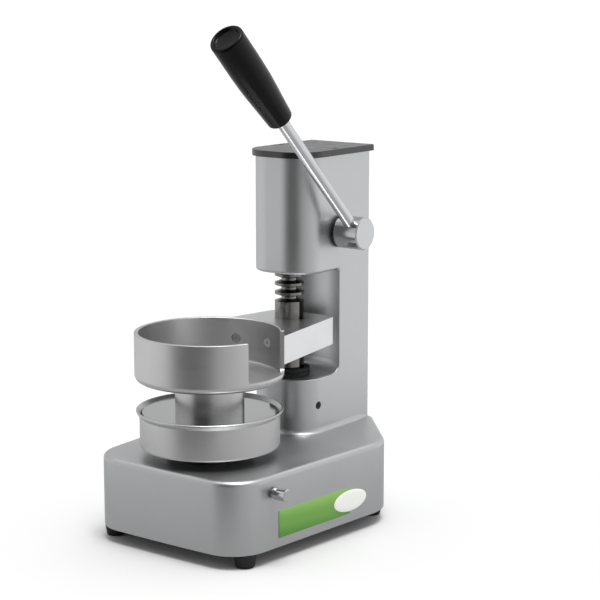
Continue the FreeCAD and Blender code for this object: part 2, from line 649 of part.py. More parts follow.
CUP_SCREWS = [("-20", "cup_screw_y", arm_middle), ("20", "cup_screw_y", arm_middle)]
cup_holes = sketch_on(arm, "XZ_Plane", "-90")
for x, _, z in CUP_SCREWS:
    circle(cup_holes, x, z, 3)
pocket(arm, cup_holes, 50, SideType="Symmetric")
put(arm)
keep(arm, "press_arm")
keep(block("2 * keyway_depth", "keyway_width", "arm_top - arm_bottom - 2", "rack_radius", "rack_y",
           "arm_bottom + 1"), "arm_key")
turned("arm_grub_screw", [(0, -31), (2, -31), (2, -35), (3.95, -35), (3.95, "-rack_radius - 0.6"),
                          (3, "-rack_radius"), (0, "-rack_radius")],
       y="rack_y", z=arm_middle, **ALONG_X)

# --------------------------------------------------------------------------- cup, neck, press plate
cup = new_body("paper_cup")
cup_profile = sketch_on(cup, "XZ_Plane")
polygon(cup_profile, [(0, "cup_bottom"), ("cup_outer_radius", "cup_bottom"),
                      ("cup_outer_radius", "cup_top"), ("cup_inner_radius", "cup_top"),
                      ("cup_inner_radius", "cup_bottom + cup_floor_thick"),
                      (0, "cup_bottom + cup_floor_thick")])
feature(cup, "Revolution", cup_profile, ReferenceAxis=(cup_profile, ["V_Axis"]), Angle=360.0)
rounded(cup, "cup_corner_radius", level("cup_bottom"))
rounded(cup, 3, lambda edge: level("cup_bottom + cup_floor_thick")(edge)
        and isinstance(edge.Curve, Part.Circle) and edge.Curve.Radius > 60)
notch = sketch_on(cup, "XY_Plane", "cup_top + 1")
polygon(notch, [("%s * cos(%s)" % (reach, angle), "%s * sin(%s)" % (reach, angle))
                for reach, angle in ((50, "notch_from"), (90, "notch_from"),
                                     (110, "(notch_from + notch_to) / 2"),
                                     (90, "notch_to"), (50, "notch_to"))])
pocket(cup, notch, "cup_top + 1 - notch_sill")
rounded(cup, 3, lambda edge: level("notch_sill")(edge) and not isinstance(edge.Curve, Part.Circle))
rounded(cup, 0.7, level("cup_top"))
wall_holes = sketch_on(cup, "XZ_Plane")
head_seats = sketch_on(cup, "XZ_Plane")
for x, _, z in CUP_SCREWS:
    circle(wall_holes, x, z, 3.2)
    circle(head_seats, x, z, "cup_screw_head + 0.1")
pocket(cup, wall_holes, 90)
pocket(cup, head_seats, "cup_screw_y")
NECK_SCREWS = [(27, 0), ("27 * cos(120)", "27 * sin(120)"), ("27 * cos(240)", "27 * sin(240)")]
floor_holes = sketch_on(cup, "XY_Plane", "cup_bottom + cup_floor_thick + 1")
for x, y in NECK_SCREWS:
    circle(floor_holes, x, y, 2.6)
pocket(cup, floor_holes, "cup_floor_thick + 2")
put(cup)
keep(cup, "paper_cup")
screws("cup_screws", CUP_SCREWS, 2.95, 24, "cup_screw_head", 1.9, axis=(1, 0, 0), angle=90)
screws("neck_screws", [(x, y, "cup_bottom + cup_floor_thick") for x, y in NECK_SCREWS],
       2.45, 9, 4.2, 2.8)

plate_top = "plate_bottom + plate_thick"
neck = lathe("press_neck",
             [(4, plate_top), ("neck_radius", plate_top), ("neck_radius", "cup_bottom - 3.5"),
              ("neck_radius + 1.2", "cup_bottom - 1.2"), ("neck_radius + 1.2", "cup_bottom"),
              (22, "cup_bottom"), (22, "cup_bottom - 6"),
              ("neck_radius - neck_wall", "cup_bottom - 6"),
              ("neck_radius - neck_wall", "%s + 6" % plate_top), (4, "%s + 6" % plate_top)])
neck_holes = sketch_on(neck, "XY_Plane", "cup_bottom + 1")
for x, y in NECK_SCREWS:
    circle(neck_holes, x, y, 2.45)
pocket(neck, neck_holes, 8)
keep(neck, "press_neck")
turned("press_plate", [(4.1, plate_top), ("plate_radius - 0.4", plate_top),
                       ("plate_radius", "%s - 0.4" % plate_top),
                       ("plate_radius", "plate_bottom + 0.4"),
                       ("plate_radius - 0.4", "plate_bottom"), (7.6, "plate_bottom"),
                       (4.1, "plate_bottom + 2.4")])
turned("plate_screw", [(0, "plate_bottom + 0.1"), (7.2, "plate_bottom + 0.1"),
                       (3.9, "plate_bottom + 2.5"), (3.9, "%s + 11" % plate_top),
                       (0, "%s + 11" % plate_top)])
plate_nut = lathe("nut_blank", [(4, "%s + 6" % plate_top), (7.4, "%s + 6" % plate_top),
                                (7.4, "%s + 12" % plate_top), (4, "%s + 12" % plate_top)])
keep(plate_nut, "plate_nut")

# --------------------------------------------------------------------------- mould bowl and ejector
bowl_outer = "bowl_inner_radius + bowl_wall"
floor_z = "bowl_bottom + bowl_wall"
# The bowl's rim flares outwards and up.
turned("mould_bowl",
       [("ejector_bush_radius", "bowl_bottom"), (bowl_outer + " - 2", "bowl_bottom"),
        (bowl_outer + " - 0.6", "bowl_bottom + 0.6"), (bowl_outer, "bowl_bottom + 2"),
        (bowl_outer, "bowl_rim_z - rim_high"), ("rim_outer_radius - 0.5", "bowl_rim_z - 2.6"),
        ("rim_outer_radius", "bowl_rim_z - 1.6"), ("rim_outer_radius", "bowl_rim_z - 0.5"),
        ("rim_outer_radius - 0.5", "bowl_rim_z"), ("rim_outer_radius - rim_thick", "bowl_rim_z"),
        ("bowl_inner_radius + 0.6", "bowl_rim_z - rim_high + 1.8"),
        ("bowl_inner_radius", "bowl_rim_z - rim_high + 0.6"),
        ("bowl_inner_radius", floor_z + " + 1.2"), ("bowl_inner_radius - 1.2", floor_z),
        ("ejector_bush_radius", floor_z)])
tube("bowl_seat_ring", "spigot_flange_radius + running_gap", "seat_ring_radius", "base_top",
     "bowl_bottom")
turned("bowl_spigot",
       [("ejector_bush_radius", "spigot_bottom"), ("spigot_radius - 1", "spigot_bottom"),
        ("spigot_radius", "spigot_bottom + 1"), ("spigot_radius", "spigot_groove_bottom"),
        ("spigot_groove_radius", "spigot_groove_bottom"),
        ("spigot_groove_radius", "spigot_groove_top"), ("spigot_radius", "spigot_groove_top"),
        ("spigot_radius", "base_top"), ("spigot_flange_radius", "base_top"),
        ("spigot_flange_radius", "bowl_bottom"), ("ejector_bush_radius", "bowl_bottom")])
tube("ejector_guide_bush", "ejector_rod_radius + running_gap", "ejector_bush_radius",
     "spigot_bottom", floor_z)
plate_up = "ejector_plate_bottom + ejector_plate_thick"
turned("ejector_plate",
       [(2.6, "ejector_plate_bottom"), ("ejector_plate_radius - 1.2", "ejector_plate_bottom"),
        ("ejector_plate_radius", "ejector_plate_bottom + 1"), ("ejector_plate_radius", plate_up),
        (4.4, plate_up), (2.6, "ejector_plate_bottom + 0.2")])
turned("ejector_screw", [(0, "ejector_plate_bottom - 12"), (2.5, "ejector_plate_bottom - 12"),
                         (2.5, "ejector_plate_bottom + 0.2"), (4.2, plate_up + " - 0.1"),
                         (0, plate_up + " - 0.1")])
ratio = "(-pivot_y) / (rack_y - pivot_y)"
ejector_pin_z = "pivot_z + (drive_pin_z - pivot_z) * %s" % ratio
ejector = turned("ejector_rod",
                 [(0, "%s - 6" % ejector_pin_z), ("ejector_head_radius", "%s - 6" % ejector_pin_z),
                  ("ejector_head_radius", "%s + 11" % ejector_pin_z),
                  ("ejector_rod_radius", "%s + 11" % ejector_pin_z),
                  ("ejector_rod_radius", "ejector_plate_bottom"),
                  (2.5, "ejector_plate_bottom"), (2.5, "ejector_plate_bottom - 13"),
                  (0, "ejector_plate_bottom - 13")])
clevis = sketch_on(ejector, "XZ_Plane")
polygon(clevis, both_sides([("rocker_thick / 2 + 0.4", "%s - 7" % ejector_pin_z),
                            ("rocker_thick / 2 + 0.4", "%s + 9" % ejector_pin_z)]))
pocket(ejector, clevis, 40, SideType="Symmetric")
clevis_hole = sketch_on(ejector, "YZ_Plane")
circle(clevis_hole, 0, ejector_pin_z, "ejector_pin_radius")
pocket(ejector, clevis_hole, 40, SideType="Symmetric")
keep(rod("ejector_pin_radius", "2 * ejector_head_radius - 2", "-ejector_head_radius + 1", 0,
         ejector_pin_z, **ALONG_X), "ejector_pin")

# --------------------------------------------------------------------------- rocker in the base
# The rocker's line runs from its pivot through both pins, which slide in its slots.
reach = "(rack_y - pivot_y)"
rocker = new_body("ejector_rocker")
bar = sketch_on(rocker, "YZ_Plane")
polygon(bar, [(-8, "-rocker_half_height"), ("%s + 13" % reach, "-rocker_half_height"),
              ("%s + 13" % reach, "rocker_half_height"), (-8, "rocker_half_height")])
pad(rocker, bar, "rocker_thick", SideType="Symmetric")
rounded(rocker, "rocker_half_height - 0.5", lambda edge: edge.BoundBox.XLength > 5
        and edge.BoundBox.YLength < 1e-3 and edge.BoundBox.ZLength < 1e-3)
pivot_hole = sketch_on(rocker, "YZ_Plane")
circle(pivot_hole, 0, 0, "drive_pin_radius + running_gap")
pocket(rocker, pivot_hole, 20, SideType="Symmetric")
for start, stop, pin in (("-pivot_y - 1", "-pivot_y + 2", "ejector_pin_radius"),
                         ("%s - 0.8" % reach, "%s + 5.4" % reach, "drive_pin_radius")):
    slot = sketch_on(rocker, "YZ_Plane")
    low = "-(%s + slot_gap)" % pin
    high = "%s + slot_gap" % pin
    polygon(slot, [("%s - %s" % (start, high), low), ("%s + %s" % (stop, high), low),
                   ("%s + %s" % (stop, high), high), ("%s - %s" % (start, high), high)])
    pocket(rocker, slot, 20, SideType="Symmetric")
put(rocker, 0, "pivot_y", "pivot_z", axis=(1, 0, 0), angle="atan((drive_pin_z - pivot_z) / %s)" % reach)
keep(rocker, "ejector_rocker")

ears = [block(5, 16, "%s - 22" % roof_z, side, "pivot_y", 22) for side in ("-5.9", "5.9")]
flange = block(34, 16, 4, 0, "pivot_y", "%s - 4" % roof_z)
bracket_holes = [rod("drive_pin_radius", 30, -15, "pivot_y", "pivot_z", **ALONG_X)]
bracket_holes += [rod(2.1, 10, x, y, "%s - 6" % roof_z) for x, y in BRACKET_BOLTS]
keep(cut(join([flange] + ears), bracket_holes), "rocker_bracket")
screws("bracket_screws", [(x, y, "%s - 4" % roof_z) for x, y in BRACKET_BOLTS],
       1.95, 8, 3.4, 3, **DOWNWARD)
keep(rod("drive_pin_radius", 19, -9.5, "pivot_y", "pivot_z", **ALONG_X), "pivot_pin")

# --------------------------------------------------------------------------- lock pin
collar_x, guide_x = 60, 82
turned("lock_pin", [(0, "lock_tip_x"), ("lock_pin_radius - 1", "lock_tip_x"),
                    ("lock_pin_radius", "lock_tip_x + 1"), ("lock_pin_radius", collar_x),
                    (7, collar_x), (7, collar_x + 3), ("lock_pin_radius", collar_x + 3),
                    ("lock_pin_radius", "lock_wall_x + 4"), (0, "lock_wall_x + 4")],
       y="lock_y", z="lock_z", **ALONG_X)
tube("lock_pin_guide", "lock_pin_radius + running_gap", 7, guide_x, "lock_wall_x - 1.5",
     y="lock_y", z="lock_z", **ALONG_X)
turned("lock_knob", [("lock_pin_radius", "lock_wall_x + 1.2"), ("knob_radius - 0.8", "lock_wall_x + 1.2"),
                     ("knob_radius", "lock_wall_x + 2"), ("knob_radius", "knob_end_x - 1"),
                     ("knob_radius - 1", "knob_end_x"), (0, "knob_end_x"),
                     (0, "lock_wall_x + 4"), ("lock_pin_radius", "lock_wall_x + 4")],
       y="lock_y", z="lock_z", **ALONG_X)
coil_radius, wire_radius, turns = 5.5, 0.6, 5
coil_length = guide_x - collar_x - 3 - 2 * wire_radius - 0.2
helix = Part.makeHelix(coil_length / turns, coil_length, coil_radius)
wire_end = Part.Wire(Part.Circle(V(coil_radius, 0, 0), V(0, 1, 0), wire_radius).toShape())
spring = doc.addObject("Part::Feature", "lock_spring")
spring.Shape = Part.Wire(helix).makePipeShell([wire_end], True, True)
keep(put(spring, collar_x + 3 + wire_radius + 0.1, "lock_y", "lock_z", **ALONG_X), "lock_spring")

# --------------------------------------------------------------------------- label plate and badge
wall_slope = "(back_corner_x - front_corner_x) / (back_corner_y - front_corner_y)"
wall_turn = {"axis": (0, 0, 1), "angle": "-atan(%s)" % wall_slope}


def wall_x(y):
    """The right side wall's x at a distance y behind the mould axis."""
    return "front_corner_x + (%s - front_corner_y) * %s" % (y, wall_slope)


label = new_body("label_plate")
label_face = sketch_on(label, "YZ_Plane")
polygon(label_face, [("-label_long / 2", "-label_high / 2"), ("label_long / 2", "-label_high / 2"),
                     ("label_long / 2", "label_high / 2"), ("-label_long / 2", "label_high / 2")])
pad(label, label_face, "label_thick")
put(label, wall_x("label_y"), "label_y", "label_z", **wall_turn)
keep(label, "label_plate")
oval = Part.Wire(Part.Ellipse(V(0, SIZES["badge_long"] / 2, 0), V(0, 0, SIZES["badge_high"] / 2),
                              V(0, 0, 0)).toShape())
badge_solid = Part.Face(oval).extrude(V(SIZES["badge_thick"], 0, 0))
badge_rim = [edge for edge in badge_solid.Edges if edge.BoundBox.XMin > SIZES["badge_thick"] / 2]
badge = doc.addObject("Part::Feature", "oval_badge")
badge.Shape = badge_solid.makeFillet(0.8, badge_rim)
put(badge, wall_x("badge_y") + " + label_thick + 0.01", "badge_y", "badge_z", **wall_turn)
keep(badge, "oval_badge")

# --------------------------------------------------------------------------- checks and export
doc.recompute()
for thing in doc.Objects:
    if "Invalid" in thing.State or "Error" in thing.State:
        raise RuntimeError("%s (%s) is not valid: %s" % (thing.Name, thing.Label, thing.State))
for node in nodes:
    if node.Shape.isNull() or not node.Shape.isValid() or not node.Shape.Solids:
        raise RuntimeError("the shape of %s is not valid" % node.Label)
if len({node.Label for node in nodes}) != len(nodes):
    raise RuntimeError("two sub-parts share a name")

os.makedirs("parts", exist_ok=True)
for node in nodes:
    node.Shape.exportStep("parts/%s.step" % node.Label)
print("%d sub-parts written" % len(nodes))
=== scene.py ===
"""The looks of a hand-operated patty press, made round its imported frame.

Lengths are in metres in the frame's own axes: +Z up, -Y towards the mould bowl, +X to the lever.
"""
import math

import bmesh
import bpy
import numpy as np
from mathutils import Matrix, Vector


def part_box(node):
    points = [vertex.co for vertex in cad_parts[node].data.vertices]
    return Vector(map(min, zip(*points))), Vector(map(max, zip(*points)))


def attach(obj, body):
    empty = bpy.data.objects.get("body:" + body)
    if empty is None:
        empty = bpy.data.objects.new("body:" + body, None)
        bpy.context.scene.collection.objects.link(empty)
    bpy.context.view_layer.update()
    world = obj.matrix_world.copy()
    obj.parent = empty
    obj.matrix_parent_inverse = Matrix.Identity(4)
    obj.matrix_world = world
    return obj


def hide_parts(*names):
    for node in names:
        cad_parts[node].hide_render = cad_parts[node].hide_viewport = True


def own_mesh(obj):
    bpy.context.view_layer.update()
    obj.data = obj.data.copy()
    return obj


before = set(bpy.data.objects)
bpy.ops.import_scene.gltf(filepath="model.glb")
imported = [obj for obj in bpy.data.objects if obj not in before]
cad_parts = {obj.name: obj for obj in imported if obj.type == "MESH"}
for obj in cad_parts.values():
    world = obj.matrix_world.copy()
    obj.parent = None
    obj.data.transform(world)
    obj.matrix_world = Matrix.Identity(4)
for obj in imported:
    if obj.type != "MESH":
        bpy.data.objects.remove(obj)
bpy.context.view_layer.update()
MM = 0.001

# ------------------------------------------------------------------ studio
# A pale floor without an end, a soft sky of white cloth with a dark gap where the room opens,
# and a broad lamp overhead. The camera stands to the right of the bowl, a little above it.


def linear(colour):
    """An sRGB hex colour as linear red, green, blue and alpha."""
    parts = [int(colour[i:i + 2], 16) / 255 for i in (0, 2, 4)]
    return [c / 12.92 if c <= 0.04045 else ((c + 0.055) / 1.055) ** 2.4 for c in parts] + [1.0]


def add(tree, kind, links=(), **settings):
    """Add a node: settings are its properties or sockets, links are pairs of socket and source."""
    node = tree.nodes.new("ShaderNode" + kind)
    for name, value in settings.items():
        if hasattr(node, name):
            setattr(node, name, value)
        else:
            node.inputs[name.replace("_", " ")].default_value = value
    for socket, source in links:
        tree.links.new(source, node.inputs[socket])
    return node


def ramp(tree, factor, stops, interpolation="EASE"):
    """A colour ramp of greys or hex colours at the given places."""
    node = add(tree, "ValToRGB", [("Fac", factor)])
    node.color_ramp.interpolation = interpolation
    elements = node.color_ramp.elements
    while len(elements) < len(stops):
        elements.new(0.5)
    for element, (place, colour) in zip(elements, stops):
        element.position = place
        element.color = linear(colour) if isinstance(colour, str) else (colour, colour, colour, 1)
    return node.outputs["Color"]


scene = bpy.context.scene
scene.view_settings.view_transform = "Standard"
world = bpy.data.worlds.new("white_tent")
scene.world = world
world.use_nodes = True
sky = world.node_tree
sky.nodes.clear()
place = add(sky, "TexCoord")
axes = add(sky, "SeparateXYZ", [(0, place.outputs["Generated"])])
forward = add(sky, "Math", [(0, axes.outputs["Y"])], operation="MULTIPLY")
forward.inputs[1].default_value = -1
bearing = add(sky, "Math", [(0, axes.outputs["X"]), (1, forward.outputs[0])], operation="ARCTAN2")
turn = add(sky, "MapRange", [("Value", bearing.outputs[0])], From_Min=-math.pi, From_Max=math.pi)


def at_bearing(degrees):
    """Where a bearing, counted from -Y towards +X, lies on the sky's ramp."""
    return (degrees + 180) / 360


ALL_ROUND = 0.88
walls = ramp(sky, turn.outputs[0], [
    (0.0, ALL_ROUND), (at_bearing(-130), 0.68), (at_bearing(-60), 0.84), (at_bearing(-32), 0.78),
    (at_bearing(-5), 0.10), (at_bearing(32), 0.11), (at_bearing(60), 0.52),
    (at_bearing(100), 0.72), (at_bearing(135), 0.92), (at_bearing(165), 1.0), (1.0, ALL_ROUND)])
rise = add(sky, "MapRange", [("Value", axes.outputs["Z"])], From_Min=-1.0, From_Max=1.0)
height = ramp(sky, rise.outputs[0], [
    (0.0, 0.45), (0.35, 0.95), (0.5, 1.0), (0.6, 0.77), (0.75, 0.80), (1.0, 1.0)])
tent = add(sky, "Mix", [(6, walls), (7, height)], data_type="RGBA", blend_type="MULTIPLY")
tent.inputs[0].default_value = 1.0
overhead = add(sky, "MapRange", [("Value", axes.outputs["Z"])], From_Min=0.84, From_Max=1.0, To_Max=1.1)
light = add(sky, "VectorMath", [(0, tent.outputs[2]), (1, overhead.outputs[0])], operation="ADD")
glow = add(sky, "Background", [("Color", light.outputs[0])], Strength=1.14)
add(sky, "OutputWorld", [("Surface", glow.outputs[0])])

sun = bpy.data.lights.new("overhead_cloth", "SUN")
sun.energy = 1.7
sun.angle = math.radians(26)
lamp = bpy.data.objects.new("overhead_cloth", sun)
LAMP_BEARING, LAMP_HEIGHT = math.radians(75), math.radians(78)
to_lamp = Vector((math.sin(LAMP_BEARING) * math.cos(LAMP_HEIGHT),
                  -math.cos(LAMP_BEARING) * math.cos(LAMP_HEIGHT), math.sin(LAMP_HEIGHT)))
lamp.rotation_euler = to_lamp.to_track_quat("Z", "Y").to_euler()
scene.collection.objects.link(lamp)

FLOOR_REACH, TABLE_REACH = 60.0, 0.52
FLOOR_DROP, TABLE_DROP = 0.3 * MM, 0.1 * MM


def card(name, corners, height):
    """A flat stage piece through corners at one height, which isn't part of the object."""
    mesh = bpy.data.meshes.new(name)
    mesh.from_pydata([(x, y, height) for x, y in corners], [], [range(len(corners))])
    sheet = bpy.data.objects.new(name, mesh)
    scene.collection.objects.link(sheet)
    return sheet


SQUARE = ((-1, -1), (1, -1), (1, 1), (-1, 1))
floor = card("floor", [(x * FLOOR_REACH, y * FLOOR_REACH) for x, y in SQUARE], -FLOOR_DROP)
floor.visible_glossy = False
# Only reflections see the table, a grey disc under the press: it darkens the foot of the metal.
table = card("table", [(TABLE_REACH * math.cos(angle), TABLE_REACH * math.sin(angle))
                       for angle in np.linspace(0, 2 * math.pi, 96, endpoint=False)], -TABLE_DROP)
table.visible_camera = table.visible_diffuse = table.visible_shadow = False


def matt_card(name, colour):
    """Matt painted card."""
    material = bpy.data.materials.new(name)
    material.use_nodes = True
    paint = material.node_tree.nodes["Principled BSDF"].inputs
    paint["Base Color"].default_value = linear(colour)
    paint["Roughness"].default_value = 0.9
    paint["Specular IOR Level"].default_value = 0.0
    return material


floor.data.materials.append(matt_card("matt_white_card", "E2E2E2"))
table.data.materials.append(matt_card("matt_grey_card", "ACACAC"))

AIM = Vector((0.0217, 0.0436, 0.2215))
BEARING, TILT, DISTANCE = math.radians(37.1), math.radians(10.63), 1.785
camera_data = bpy.data.cameras.new("camera")
camera_data.lens = 106.85
camera_data.sensor_width = 36.0
camera = bpy.data.objects.new("camera", camera_data)
towards = Vector((math.sin(BEARING) * math.cos(TILT), -math.cos(BEARING) * math.cos(TILT), math.sin(TILT)))
camera.location = AIM + towards * DISTANCE
camera.rotation_euler = (-towards).to_track_quat("-Z", "Y").to_euler()
scene.collection.objects.link(camera)
scene.camera = camera

# ------------------------------------------------------------------ base housing and column casting
# Two sand castings of aluminium: a hollow base with a curved front, and the column bolted on it.
# They are blasted with fine glass beads and clear anodised, so they look grey, soft and even.


def new_material(name):
    """An empty node material and its tree."""
    material = bpy.data.materials.new(name)
    material.use_nodes = True
    material.node_tree.nodes.clear()
    return material, material.node_tree


def noise(tree, where, size_mm, detail=2.0, rough=0.5):
    """Noise whose blobs are about size_mm across."""
    return add(tree, "TexNoise", [("Vector", where)], Scale=1 / (size_mm * MM),
               Detail=detail, Roughness=rough).outputs[0]


def between(tree, factor, low, high, start=0.3, end=0.7):
    """A factor's range from start to end, stretched to low and high."""
    return add(tree, "MapRange", [("Value", factor)], From_Min=start, From_Max=end,
               To_Min=low, To_Max=high).outputs[0]


def shaded(tree, colour, factor):
    """A colour times a grey factor."""
    mixed = add(tree, "Mix", [(7, factor)], data_type="RGBA", blend_type="MULTIPLY")
    mixed.inputs[0].default_value = 1.0
    if isinstance(colour, str):
        mixed.inputs[6].default_value = linear(colour)
    else:
        tree.links.new(colour, mixed.inputs[6])
    return mixed.outputs[2]


def relief(tree, height, depth_mm, strength=1.0):
    """A bump of a real depth."""
    return add(tree, "Bump", [("Height", height)], Strength=strength, Distance=depth_mm * MM).outputs[0]


def finish_shader(tree, colour, roughness, normal, **settings):
    """The principled shader that ends a material."""
    shader = add(tree, "BsdfPrincipled", [("Base Color", colour), ("Roughness", roughness),
                                          ("Normal", normal)], **settings)
    add(tree, "OutputMaterial", [("Surface", shader.outputs[0])])


def wear(material, *nodes):
    """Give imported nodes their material."""
    for node in nodes:
        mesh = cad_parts[node].data
        mesh.materials.clear()
        mesh.materials.append(material)


def blasted_metal(name, colour, rough, grain_mm, depth_mm):
    """Blasted metal: a fine even grain of dimples under slow clouds of shade and gloss.

    The grain is drawn about twice as coarse as the beads leave it, so that it shows."""
    material, tree = new_material(name)
    here = add(tree, "TexCoord").outputs["Object"]
    clouds = noise(tree, here, 45, 3.0, 0.55)
    tint = shaded(tree, colour, between(tree, clouds, 0.95, 1.0))
    finish_shader(tree, tint, between(tree, clouds, rough - 0.03, rough + 0.03),
                  relief(tree, noise(tree, here, grain_mm), depth_mm, 0.35), Metallic=1.0)
    return material


# Blasted aluminium scatters its reflections wide, but still shows dark and bright bands.
blasted = blasted_metal("bead_blasted_aluminium", "C6C7C8", 0.40, 0.45, 0.02)
wear(blasted, "column_casting")

# The right half of the base's plan: its corners and their radii, from the front to the back.
BASE_CORNERS = np.array([(92.7, -143.0), (109.4, 71.6), (40.0, 146.6)]) * MM
BASE_RADII = np.array([35.5, 50.0, 8.0]) * MM
FRONT_BOW, BOW_REACH, PLAN_STEP = 2000 * MM, 32 * MM, 6 * MM
BASE_WALL, BASE_ROOF, BASE_EDGE, EDGE_STEPS = 5.0 * MM, 6.0 * MM, 5.0 * MM, 9


def rounded_plan(corners, radii, steps=28):
    """A closed plan with true arcs at its corners: each arc has its middle on the corner's
    bisector, r / sin(half the corner's angle) from the corner, and runs between the two sides."""
    before, after = np.roll(corners, 1, 0) - corners, np.roll(corners, -1, 0) - corners
    before /= np.linalg.norm(before, axis=1)[:, None]
    after /= np.linalg.norm(after, axis=1)[:, None]
    half = np.arccos(np.sum(before * after, 1)) / 2
    bisector = (before + after) / np.linalg.norm(before + after, axis=1)[:, None]
    middle = corners + bisector * (radii / np.sin(half))[:, None]
    start = corners + before * (radii / np.tan(half))[:, None] - middle
    end = corners + after * (radii / np.tan(half))[:, None] - middle
    swing = np.arccos(np.clip(np.sum(start * end, 1) / radii ** 2, -1, 1))[:, None]
    share = np.linspace(0, 1, steps)[None]
    a = (np.sin((1 - share) * swing) / np.sin(swing))[..., None] * start[:, None]
    c = (np.sin(share * swing) / np.sin(swing))[..., None] * end[:, None]
    return (middle[:, None] + a + c).reshape(-1, 2)


def evenly(path, most):
    """A closed path whose long straight stretches are divided into steps of at most `most`."""
    after = np.roll(path, -1, 0)
    parts = np.maximum(1, np.ceil(np.linalg.norm(after - path, axis=1) / most)).astype(int)
    which = np.repeat(np.arange(len(path)), parts)
    first = np.repeat(np.cumsum(parts) - parts, parts)
    share = (np.arange(len(which)) - first) / parts[which]
    return path[which] + (after - path)[which] * share[:, None]


def base_grid():
    """The base's plan carried up its outside, over a quarter-round edge to the middle of its top,
    and back along the inside of its roof and walls. The edge is out by r(1 - cos a) and down by
    r(1 - sin a). The front line bows by (w^2 - x^2) / 2R, a very flat arc."""
    low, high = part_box("base_housing")
    corners = np.vstack([BASE_CORNERS, BASE_CORNERS[::-1] * (-1, 1)])
    plan = evenly(rounded_plan(corners, np.append(BASE_RADII, BASE_RADII[::-1])), PLAN_STEP)
    half_width, front = BASE_CORNERS[0]
    near_front = np.clip((front + BOW_REACH - plan[:, 1]) / BOW_REACH, 0, 1)
    plan[:, 1] -= near_front * (half_width ** 2 - plan[:, 0] ** 2) / (2 * FRONT_BOW)
    step = np.roll(plan, -1, 0) - np.roll(plan, 1, 0)
    inward = np.stack([-step[:, 1], step[:, 0]], 1) / np.linalg.norm(step, axis=1)[:, None]
    edge = np.radians(np.linspace(0, 90, EDGE_STEPS))
    inset = np.concatenate([[0], BASE_EDGE * (1 - np.cos(edge)), [BASE_WALL, BASE_WALL]])
    level = np.concatenate([[low.z], high.z - BASE_EDGE * (1 - np.sin(edge)), [high.z - BASE_ROOF, low.z]])
    walls = plan[:, None] + inward[:, None] * inset[None, :, None]
    walls = np.concatenate([walls, np.broadcast_to(level[None, :, None], walls.shape[:2] + (1,))], -1)
    roof = EDGE_STEPS + 1
    middle = walls[:, roof - 1:roof + 1].copy()
    middle[:, :, :2] = 0
    return np.concatenate([walls[:, :roof], middle, walls[:, roof:]], 1)


def surface(name, grid, closed=False):
    """A mesh from a grid of points (u, v, xyz): neighbours make faces, v closes on itself, u does
    if asked, doubles are merged, holes are closed and every face is turned outwards."""
    rows, columns = grid.shape[:2]
    index = np.arange(rows * columns).reshape(rows, columns)
    index = np.hstack([index, index[:, :1]])
    if closed:
        index = np.vstack([index, index[:1]])
    faces = np.stack([index[:-1, :-1], index[1:, :-1], index[1:, 1:], index[:-1, 1:]], -1)
    mesh = bpy.data.meshes.new(name)
    mesh.from_pydata(grid.reshape(-1, 3).tolist(), [], faces.reshape(-1, 4).tolist())
    work = bmesh.new()
    work.from_mesh(mesh)
    bmesh.ops.remove_doubles(work, verts=work.verts, dist=0.002 * MM)
    bmesh.ops.holes_fill(work, edges=[edge for edge in work.edges if edge.is_boundary])
    bmesh.ops.recalc_face_normals(work, faces=work.faces)
    work.to_mesh(mesh)
    work.free()
    mesh.shade_smooth()
    mesh.set_sharp_from_angle(angle=math.radians(40))
    piece = bpy.data.objects.new(name, mesh)
    scene.collection.objects.link(piece)
    return piece


def fit_out(piece, material, body, slot, *nodes):
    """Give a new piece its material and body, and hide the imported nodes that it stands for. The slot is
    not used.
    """
    piece.data.materials.append(material)
    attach(piece, body)
    if nodes:
        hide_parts(*nodes)
    return piece


def turned_piece(name, outline, base, axis, steps=72):
    """A surface of revolution: an outline of radius and place along the axis, in mm, carried round
    it: point = base + radius (cos a e1 + sin a e2) + along axis."""
    axis = np.array(axis, float) / np.linalg.norm(axis)
    first = np.cross(axis, (1, 0, 0) if abs(axis[0]) < 0.9 else (0, 1, 0))
    first /= np.linalg.norm(first)
    second = np.cross(axis, first)
    outline = np.array(outline, float) * MM
    angle = np.linspace(0, 2 * math.pi, steps, endpoint=False)[:, None, None]
    radius, along = outline[None, :, :1], outline[None, :, 1:]
    spots = radius * (np.cos(angle) * first + np.sin(angle) * second) + along * axis
    return surface(name, spots + np.array(base), closed=True)


def machined(piece, operation, tools):
    """Join round bosses to a piece or cut round bores from it: each is a radius and a length in mm,
    a foot point and an axis."""
    for radius, length, foot, axis in tools:
        tool = turned_piece("tool", [(0, 0), (radius, 0), (radius, length), (0, length)], foot, axis, 64)
        step = piece.modifiers.new("machining", "BOOLEAN")
        step.operation = operation
        step.object = tool
        bpy.context.view_layer.update()
        done = bpy.data.meshes.new_from_object(piece.evaluated_get(bpy.context.evaluated_depsgraph_get()))
        piece.modifiers.remove(step)
        piece.data = done
        bpy.data.objects.remove(tool)
    piece.data.shade_smooth()
    piece.data.set_sharp_from_angle(angle=math.radians(40))
    return piece


def middle_of(node):
    """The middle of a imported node's box."""
    low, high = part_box(node)
    return (low + high) / 2


UP, SIDE = (0, 0, 1), (1, 0, 0)
FEET = ("front_left", "front_right", "back_left", "back_right")
rack_axis, mould_axis = middle_of("rack_rod"), middle_of("mould_bowl")
shaft_axis, lock_axis = middle_of("pinion_shaft"), middle_of("lock_pin")
base_top, cover_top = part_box("base_housing")[1].z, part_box("bottom_cover")[1].z
feet = [middle_of("foot_" + place) for place in FEET]
